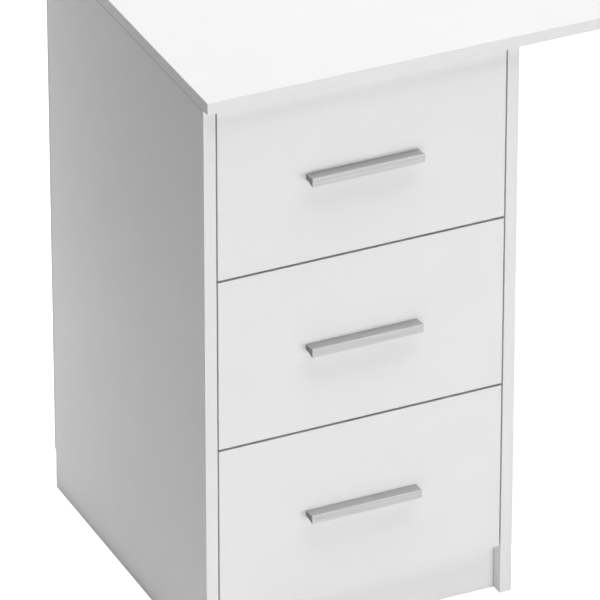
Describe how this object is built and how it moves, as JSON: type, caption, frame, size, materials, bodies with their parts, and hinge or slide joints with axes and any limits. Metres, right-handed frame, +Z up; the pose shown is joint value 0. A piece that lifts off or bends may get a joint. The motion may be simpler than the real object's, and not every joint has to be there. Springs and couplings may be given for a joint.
{
  "type": "corner desk",
  "caption": "L-shaped white board desk with a drawer pedestal at one end, a gable and an end panel, bar handles and roller-runner drawers.",
  "frame": {"origin": "on the floor, under the middle of the desk's outline box", "axes": "+Z up, +X along the long wall towards the return wing, -Y towards the user; the walls are at +Y and +X"},
  "size_m": [1.45, 1, 0.76],
  "materials": {
    "white_melamine": "satin white melamine on 15 mm chipboard, matching edge band",
    "thin_fibreboard": "white-faced 3 mm fibreboard",
    "satin_aluminium": "satin anodised, drawn along its length",
    "white_steel": "white epoxy-coated 1.2 mm sheet",
    "nylon": "moulded white nylon",
    "zinc_steel": "bright zinc plating",
    "beech": "plain fluted beech"
  },
  "bodies": {
    "root": {"worktop_main": "white_melamine", "worktop_return": "white_melamine", "pedestal_side_left": "white_melamine", "pedestal_side_right": "white_melamine", "gable": "white_melamine", "end_panel": "white_melamine", "plinth": "white_melamine", "pedestal_bottom": "white_melamine", "front_stretcher": "white_melamine", "rear_stretcher": "white_melamine", "rear_apron": "white_melamine", "return_apron": "white_melamine", "pedestal_back": "thin_fibreboard", "joining_plates": "zinc_steel", "cabinet_runner_1_left": "white_steel", "cabinet_runner_1_right": "white_steel", "cabinet_runner_2_left": "white_steel", "cabinet_runner_2_right": "white_steel", "cabinet_runner_3_left": "white_steel", "cabinet_runner_3_right": "white_steel", "cam_studs": "zinc_steel", "cam_housings": "zinc_steel", "dowels": "beech", "worktop_screws": "zinc_steel", "short_screws": "zinc_steel", "back_nails": "zinc_steel"},
    "drawer_1": {"drawer_1_front": "white_melamine", "drawer_1_side_left": "white_melamine", "drawer_1_side_right": "white_melamine", "drawer_1_back": "white_melamine", "drawer_1_bottom": "thin_fibreboard", "drawer_1_handle": "satin_aluminium", "drawer_1_runner_left": "white_steel", "drawer_1_runner_right": "white_steel", "drawer_1_fixings": "zinc_steel"},
    "drawer_1_rollers": {"drawer_1_rollers": "nylon"},
    "cabinet_rollers_1": {"cabinet_rollers_1": "nylon"},
    "drawer_2": {"drawer_2_front": "white_melamine", "drawer_2_side_left": "white_melamine", "drawer_2_side_right": "white_melamine", "drawer_2_back": "white_melamine", "drawer_2_bottom": "thin_fibreboard", "drawer_2_handle": "satin_aluminium", "drawer_2_runner_left": "white_steel", "drawer_2_runner_right": "white_steel", "drawer_2_fixings": "zinc_steel"},
    "drawer_2_rollers": {"drawer_2_rollers": "nylon"},
    "cabinet_rollers_2": {"cabinet_rollers_2": "nylon"},
    "drawer_3": {"drawer_3_front": "white_melamine", "drawer_3_side_left": "white_melamine", "drawer_3_side_right": "white_melamine", "drawer_3_back": "white_melamine", "drawer_3_bottom": "thin_fibreboard", "drawer_3_handle": "satin_aluminium", "drawer_3_runner_left": "white_steel", "drawer_3_runner_right": "white_steel", "drawer_3_fixings": "zinc_steel"},
    "drawer_3_rollers": {"drawer_3_rollers": "nylon"},
    "cabinet_rollers_3": {"cabinet_rollers_3": "nylon"}
  },
  "joints": [
    {"name": "drawer_1_slide", "type": "slide", "parent": "root", "child": "drawer_1", "axis": [0, -1, 0], "range_m": [0, 0.3]},
    {"name": "drawer_1_roller_spin", "type": "hinge", "parent": "drawer_1", "child": "drawer_1_rollers", "pos_m": [-0.525, 0.448, 0.5443], "axis": [1, 0, 0], "range_deg": [0, 1910]},
    {"name": "cabinet_roller_1_spin", "type": "hinge", "parent": "root", "child": "cabinet_rollers_1", "pos_m": [-0.525, 0.078, 0.5455], "axis": [1, 0, 0], "range_deg": [0, 1910]},
    {"name": "drawer_2_slide", "type": "slide", "parent": "root", "child": "drawer_2", "axis": [0, -1, 0], "range_m": [0, 0.3]},
    {"name": "drawer_2_roller_spin", "type": "hinge", "parent": "drawer_2", "child": "drawer_2_rollers", "pos_m": [-0.525, 0.448, 0.3183], "axis": [1, 0, 0], "range_deg": [0, 1910]},
    {"name": "cabinet_roller_2_spin", "type": "hinge", "parent": "root", "child": "cabinet_rollers_2", "pos_m": [-0.525, 0.078, 0.3195], "axis": [1, 0, 0], "range_deg": [0, 1910]},
    {"name": "drawer_3_slide", "type": "slide", "parent": "root", "child": "drawer_3", "axis": [0, -1, 0], "range_m": [0, 0.3]},
    {"name": "drawer_3_roller_spin", "type": "hinge", "parent": "drawer_3", "child": "drawer_3_rollers", "pos_m": [-0.525, 0.448, 0.0923], "axis": [1, 0, 0], "range_deg": [0, 1910]},
    {"name": "cabinet_roller_3_spin", "type": "hinge", "parent": "root", "child": "cabinet_rollers_3", "pos_m": [-0.525, 0.078, 0.0935], "axis": [1, 0, 0], "range_deg": [0, 1910]}
  ],
  "couplings": [
    {"joint": "drawer_1_roller_spin", "follows": "drawer_1_slide", "rad_per_m": 111.11},
    {"joint": "cabinet_roller_1_spin", "follows": "drawer_1_slide", "rad_per_m": 111.11},
    {"joint": "drawer_2_roller_spin", "follows": "drawer_2_slide", "rad_per_m": 111.11},
    {"joint": "cabinet_roller_2_spin", "follows": "drawer_2_slide", "rad_per_m": 111.11},
    {"joint": "drawer_3_roller_spin", "follows": "drawer_3_slide", "rad_per_m": 111.11},
    {"joint": "cabinet_roller_3_spin", "follows": "drawer_3_slide", "rad_per_m": 111.11}
  ]
}
